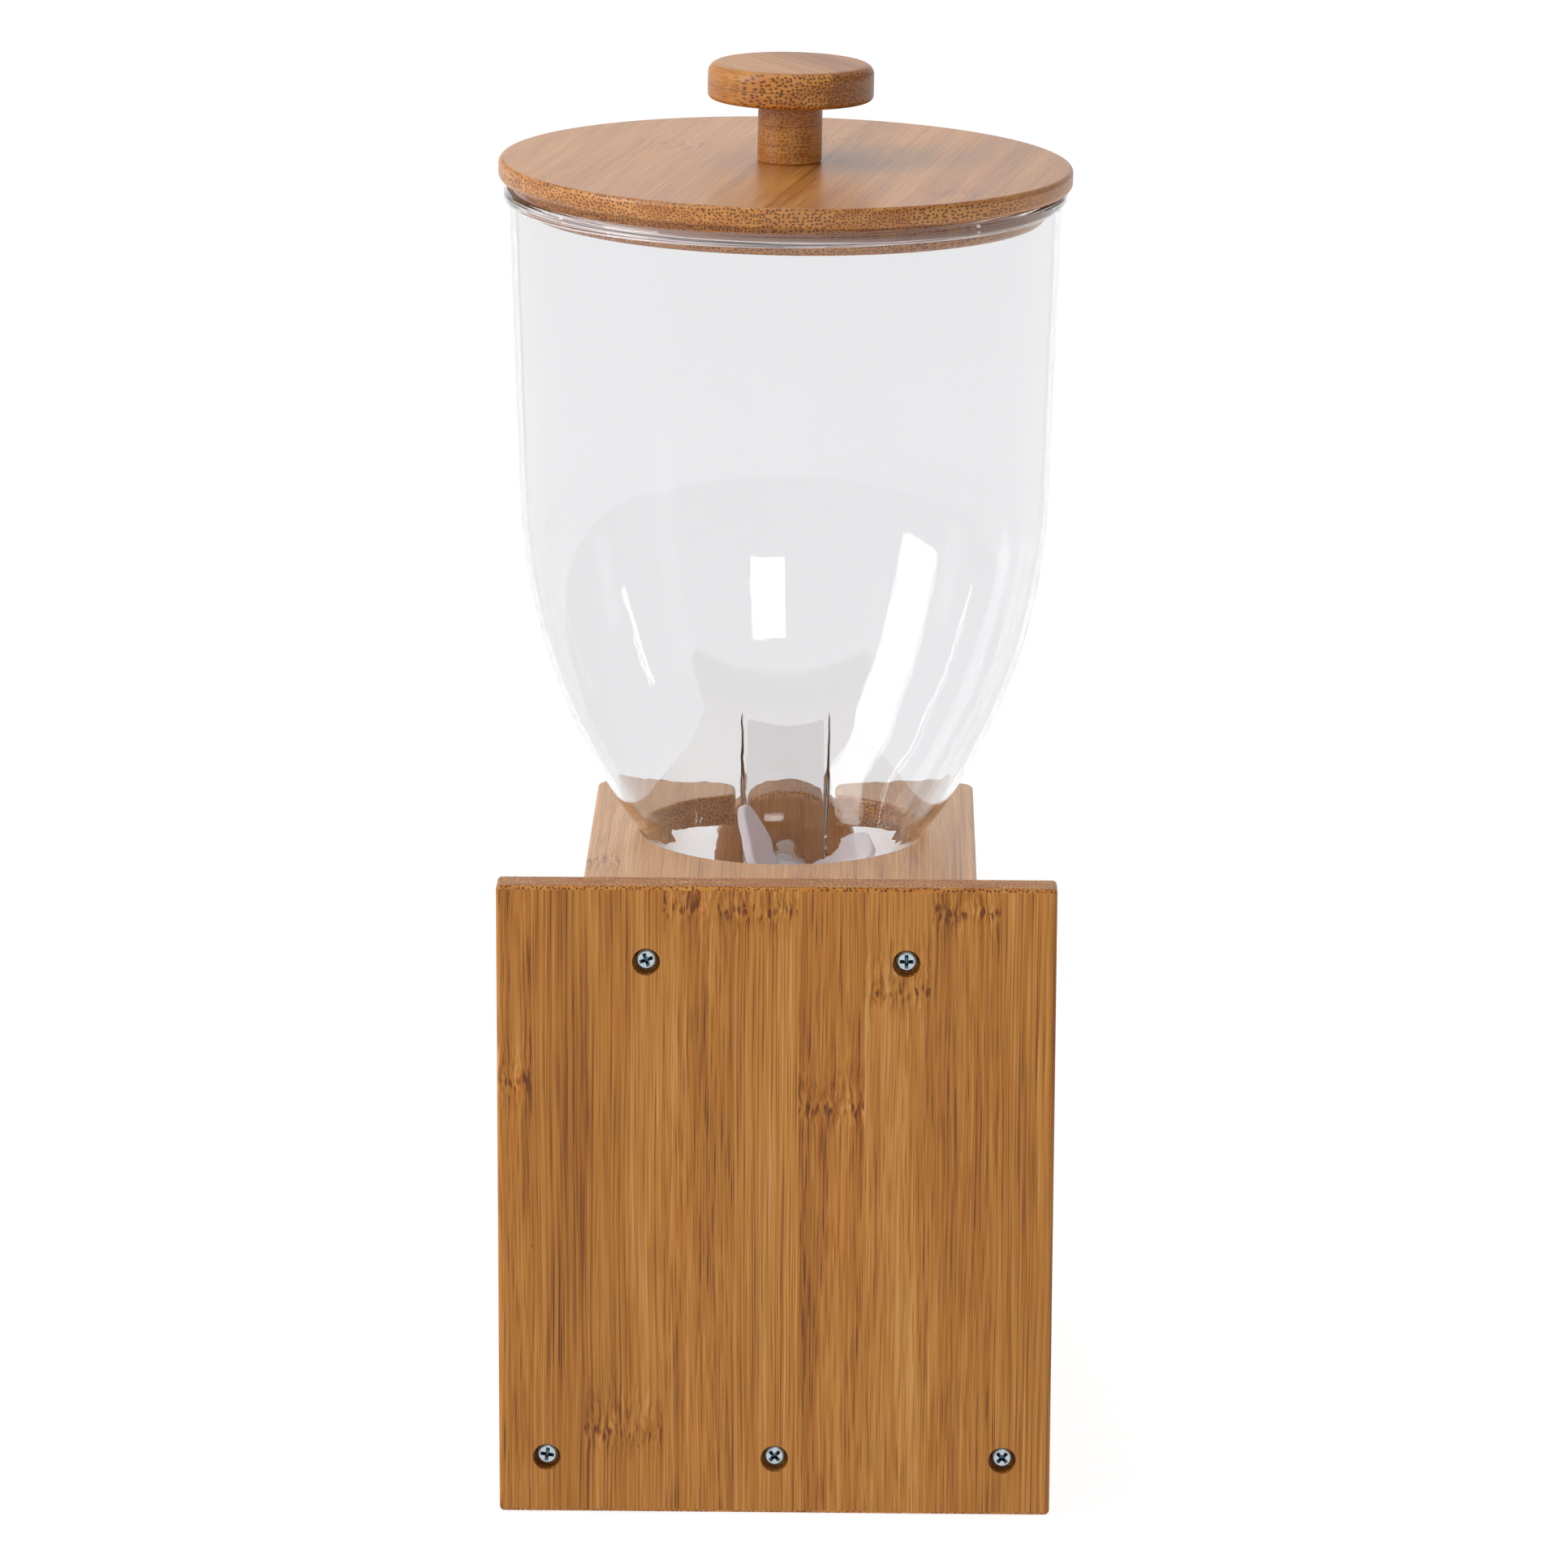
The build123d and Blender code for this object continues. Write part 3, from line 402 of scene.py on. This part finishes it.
KNOB_STRIPS = [
    (-60.0, 0.00, 0.29, 0.5, 600.0, 0.0, 0.0), (-9.0, 0.03, 0.68, 0.2, 600.0, 0.0, 0.05),
    (11.0, -0.02, 0.91, 0.8, 600.0, 0.0, 0.0),
]
M_KNOB = bamboo("bamboo_front_knob", ((1, 0, 0), (0, 1, 0), (0, 0, 1)), KNOB_STRIPS, density=1.3, lines=0.8, gain=(1.15, 1.12, 1.1))
M_KNECK = bamboo("bamboo_knob_neck", ((1, 0, 0), (0, 1, 0), (0, 0, 1)), KNOB_STRIPS, density=1.3, lines=0.8, gain=(1.15, 1.12, 1.1))


# ---------------------------------------------------------------------------
# clear plastic, silicone, metal, nylon, rubber
# ---------------------------------------------------------------------------
def clear_plastic(name):
    m, w, out = new_material(name)
    bs = w.add("ShaderNodeBsdfPrincipled")
    bs.inputs["Base Color"].default_value = (0.882, 0.882, 0.890, 1)
    bs.inputs["Transmission Weight"].default_value = 1.0
    bs.inputs["Roughness"].default_value = 0.0
    # thin moulded walls bend what is behind them little, and still shine
    bs.inputs["IOR"].default_value = 1.20
    bs.inputs["Coat Weight"].default_value = 1.0
    bs.inputs["Coat Roughness"].default_value = 0.0
    bs.inputs["Coat IOR"].default_value = 1.40
    p = object_mm(w)
    # very faint flow waviness of the moulding
    h = w.noise(w.combine(*[w.math("MULTIPLY", s, 0.035) for s in w.separate(p)]), 1.0, 2.0)
    w.link(w.bump(h, 0.05, 0.0003), bs.inputs["Normal"])
    tr = w.add("ShaderNodeBsdfTransparent")
    tr.inputs[0].default_value = (0.955, 0.955, 0.965, 1)
    lp = w.add("ShaderNodeLightPath")
    fac = w.math("MAXIMUM", lp.outputs["Is Shadow Ray"], lp.outputs["Is Diffuse Ray"])
    mx = w.add("ShaderNodeMixShader")
    w.link(fac, mx.inputs[0]); w.link(bs.outputs[0], mx.inputs[1]); w.link(tr.outputs[0], mx.inputs[2])
    w.link(mx.outputs[0], out.inputs[0])
    return m


def milky(name, color, alpha, rough, ior=1.41, sss=0.0):
    m, w, out = new_material(name)
    bs = w.add("ShaderNodeBsdfPrincipled")
    p = object_mm(w)
    n = w.noise(p, 0.18, 3.0)
    w.link(w.mix(w.map(n, 0.3, 0.7, 0.0, 1.0), tuple(c * 0.96 for c in color), color), bs.inputs["Base Color"])
    n2 = w.noise(p, 2.4, 2.0)
    w.put(bs.inputs["Roughness"], w.map(n2, 0.3, 0.7, rough - 0.05, rough + 0.06))
    bs.inputs["IOR"].default_value = ior
    bs.inputs["Alpha"].default_value = alpha
    if sss:
        bs.inputs["Subsurface Weight"].default_value = sss
        bs.inputs["Subsurface Radius"].default_value = (1.0, 0.9, 0.9)
        bs.inputs["Subsurface Scale"].default_value = 0.004
    w.link(w.bump(n2, 0.08, 0.0001), bs.inputs["Normal"])
    w.link(bs.outputs[0], out.inputs[0])
    return m


def metal(name, color, rough, axis, recess_below=None, brushed=False):
    m, w, out = new_material(name)
    bs = w.add("ShaderNodeBsdfPrincipled")
    bs.inputs["Metallic"].default_value = 1.0
    p = object_mm(w)
    s = w.separate(p)
    if brushed:
        v = w.combine(w.math("MULTIPLY", s[0], 0.3), w.math("MULTIPLY", s[1], 9.0), w.math("MULTIPLY", s[2], 0.3))
        n = w.noise(v, 1.0, 3.0, 0.6)
    else:
        n = w.noise(p, 3.2, 4.0, 0.65)
    mott = w.noise(p, 0.9, 2.0)
    c = w.mix(w.map(mott, 0.3, 0.7, 0.0, 1.0), tuple(x * 0.90 for x in color), color)
    if recess_below is not None:
        # painted shade: the bottom of the driver recess is coloured dark blue-grey to stand in for the shade that falls
        # in the hollow
        depth = w.math("SUBTRACT", recess_below, s[1])
        recess_shade_mask = w.map(depth, 0.25, 1.3, 0.0, 1.0, True)
        c = w.mix(recess_shade_mask, c, (0.09, 0.135, 0.175))
    w.link(c, bs.inputs["Base Color"])
    w.put(bs.inputs["Roughness"], w.map(n, 0.25, 0.75, rough - 0.07, rough + 0.09))
    w.link(w.bump(n, 0.12, 0.00005), bs.inputs["Normal"])
    w.link(bs.outputs[0], out.inputs[0])
    return m


def plain_plastic(name, color, rough, grain=1.6, strength=0.12, metallic=0.0, ior=1.5):
    m, w, out = new_material(name)
    bs = w.add("ShaderNodeBsdfPrincipled")
    p = object_mm(w)
    n = w.noise(p, grain, 4.0, 0.6)
    big = w.noise(p, 0.12, 2.0)
    w.link(w.mix(w.map(big, 0.3, 0.7, 0.0, 1.0), tuple(c * 0.93 for c in color), color), bs.inputs["Base Color"])
    w.put(bs.inputs["Roughness"], w.map(n, 0.3, 0.7, rough - 0.06, rough + 0.08))
    bs.inputs["IOR"].default_value = ior
    w.link(w.bump(n, strength, 0.00008), bs.inputs["Normal"])
    w.link(bs.outputs[0], out.inputs[0])
    return m


M_CLEAR = clear_plastic("clear_hopper_plastic")
M_SPOUT = clear_plastic("clear_outlet_plastic")
M_BLADE = milky("milky_silicone_blades", (0.84, 0.80, 0.85), 0.62, 0.38, sss=0.35)
M_GASKET = milky("clear_silicone_gasket", (0.84, 0.76, 0.74), 0.90, 0.30)
# the shelf and base screws carry painted shade at the bottom of their driver recesses (recess_below)
M_SCREW = metal("zinc_screw_recess_shade", (0.50, 0.59, 0.64), 0.30, "Y", recess_below=111.9)
M_SCREW_PLAIN = metal("zinc_screw_plain", (0.70, 0.77, 0.82), 0.30, "Y")
M_STEEL = metal("ground_steel_shaft", (0.66, 0.66, 0.67), 0.28, "Y", brushed=True)
M_NYLON = plain_plastic("white_nylon_part", (0.80, 0.80, 0.77), 0.45)
M_RUBBER = plain_plastic("foot_rubber_dark", (0.022, 0.022, 0.023), 0.62, grain=2.5, strength=0.3)

LOOKS = {
    "back_panel": M_PANEL, "shelf": M_SHELF, "base_board": M_BASE,
    "shelf_screws": M_SCREW, "base_screws": M_SCREW, "foot_screws": M_SCREW_PLAIN, "rubber_feet": M_RUBBER,
    "hopper": M_CLEAR, "outlet_spout": M_SPOUT, "front_bush": M_NYLON, "rear_bush": M_NYLON,
    "drive_shaft": M_STEEL, "retaining_clip": M_STEEL, "wheel_core": M_NYLON, "paddle_wheel": M_BLADE,
    "knob_neck": M_KNECK, "dispensing_knob": M_KNOB, "knob_screw": M_SCREW_PLAIN,
    "lid_disc": M_LID, "lid_plug": M_PLUG, "lid_gasket": M_GASKET,
    "lid_knob_stem": M_STEM, "lid_knob_cap": M_CAP, "lid_knob_screw": M_SCREW_PLAIN,
}
for node, mat in LOOKS.items():
    for s in NODES[node].material_slots:
        s.material = mat

# ---------------------------------------------------------------------------
# floor, world and lights
# ---------------------------------------------------------------------------
floor_mesh = bpy.data.meshes.new("floor")
S = 14.0
floor_mesh.from_pydata([(-S, -S, 0), (S, -S, 0), (S, S, 0), (-S, S, 0)], [], [(0, 1, 2, 3)])
floor = bpy.data.objects.new("floor", floor_mesh)
floor.location.z = -0.0005
bpy.context.scene.collection.objects.link(floor)
m, w, out = new_material("pale_floor")
fb = w.add("ShaderNodeBsdfDiffuse")
fb.inputs[0].default_value = (0.17, 0.17, 0.17, 1)
fe = w.add("ShaderNodeEmission")
fe.inputs[0].default_value = (1, 1, 1, 1)
fe.inputs[1].default_value = 0.91
ad = w.add("ShaderNodeAddShader")
w.link(fb.outputs[0], ad.inputs[0]); w.link(fe.outputs[0], ad.inputs[1]); w.link(ad.outputs[0], out.inputs[0])
floor_mesh.materials.append(m)

scene = bpy.context.scene
world = bpy.data.worlds.new("studio")
scene.world = world
world.use_nodes = True
world.node_tree.nodes.clear()
ww = Tree(world.node_tree)
wc = ww.add("ShaderNodeTexCoord")
nx, ny, nz = ww.separate(wc.outputs["Generated"])
# a bright sweep behind the object, a dimmer room on the camera's side
sweep = ww.map(ny, -0.985, -0.86, 0.64, 0.0, True)
lev = ww.math("ADD", 0.46, ww.math("MULTIPLY", ny, -0.12))
lev = ww.math("ADD", lev, sweep)
lev = ww.math("ADD", lev, ww.math("MULTIPLY", nx, 0.22))
lev = ww.math("ADD", lev, ww.math("MULTIPLY", nz, 0.10))
lev = ww.math("MAXIMUM", lev, 0.25)
bg = ww.add("ShaderNodeBackground")
bg.inputs[0].default_value = (1.0, 1.0, 1.0, 1)
ww.link(lev, bg.inputs[1])
wo = ww.add("ShaderNodeOutputWorld")
ww.link(bg.outputs[0], wo.inputs[0])

CENTRE = Vector((0.0, -0.01, 0.24))


def softbox(name, azimuth, elevation, distance, width, height, power, aim=CENTRE):
    """azimuth is the side the light stands on: 0 is +Y, 90 is -X."""
    a, e = math.radians(azimuth), math.radians(elevation)
    d = Vector((-math.sin(a) * math.cos(e), math.cos(a) * math.cos(e), math.sin(e)))
    data = bpy.data.lights.new(name, "AREA")
    data.shape = "RECTANGLE"
    data.size, data.size_y = width, height
    data.energy = power
    o = bpy.data.objects.new(name, data)
    o.location = Vector(aim) + d * distance
    o.rotation_euler = (-d).to_track_quat("-Z", "Y").to_euler()
    scene.collection.objects.link(o)
    return o


softbox("key_tall", 9.0, 22.0, 2.6, 0.75, 0.70, 11.0)
softbox("side_large", -68.0, 34.0, 1.9, 0.75, 2.0, 27.0)
softbox("right_strip", 88.0, 18.0, 2.2, 0.07, 0.6, 1.0)
softbox("left_strip", -104.0, 26.0, 2.0, 0.06, 1.5, 1.4)
softbox("overhead", 200.0, 74.0, 2.2, 1.2, 1.0, 6.0)

# ---------------------------------------------------------------------------
# camera at the photograph's viewing angle
# ---------------------------------------------------------------------------
F_PX, THETA, PHI, DIST, TX, TZ, ROLL = 8829.87, 14.47, 0.78, 2157.64, -2.14, -233.08, -0.23
BACK_Y = 114.5
th, ph, ro = (math.radians(v) for v in (THETA, PHI, ROLL))
R = Vector((-math.cos(ph), -math.sin(ph), 0.0))
F = Vector((math.sin(ph) * math.cos(th), -math.cos(ph) * math.cos(th), -math.sin(th)))
U = Vector((math.sin(ph) * math.sin(th), -math.cos(ph) * math.sin(th), math.cos(th)))
O = Vector((0.0, BACK_Y, 0.0))
eye = O - R * TX - U * (TZ * math.cos(th)) - F * (DIST - TZ * math.sin(th))
R2 = R * math.cos(ro) - U * math.sin(ro)
U2 = R * math.sin(ro) + U * math.cos(ro)
cam_data = bpy.data.cameras.new("photo_camera")
cam_data.sensor_fit = "AUTO"
cam_data.sensor_width = 36.0
cam_data.lens = F_PX / 1932.0 * 36.0
cam_data.clip_start, cam_data.clip_end = 0.05, 60.0
cam = bpy.data.objects.new("photo_camera", cam_data)
rot = Matrix((R2, U2, -F)).transposed()
cam.matrix_world = Matrix.Translation(eye / 1000.0) @ rot.to_4x4()
scene.collection.objects.link(cam)
scene.camera = cam

scene.view_settings.view_transform = "Standard"
scene.cycles.max_bounces = 20
scene.cycles.transmission_bounces = 16
scene.cycles.transparent_max_bounces = 16
scene.cycles.diffuse_bounces = 4

bpy.context.view_layer.update()
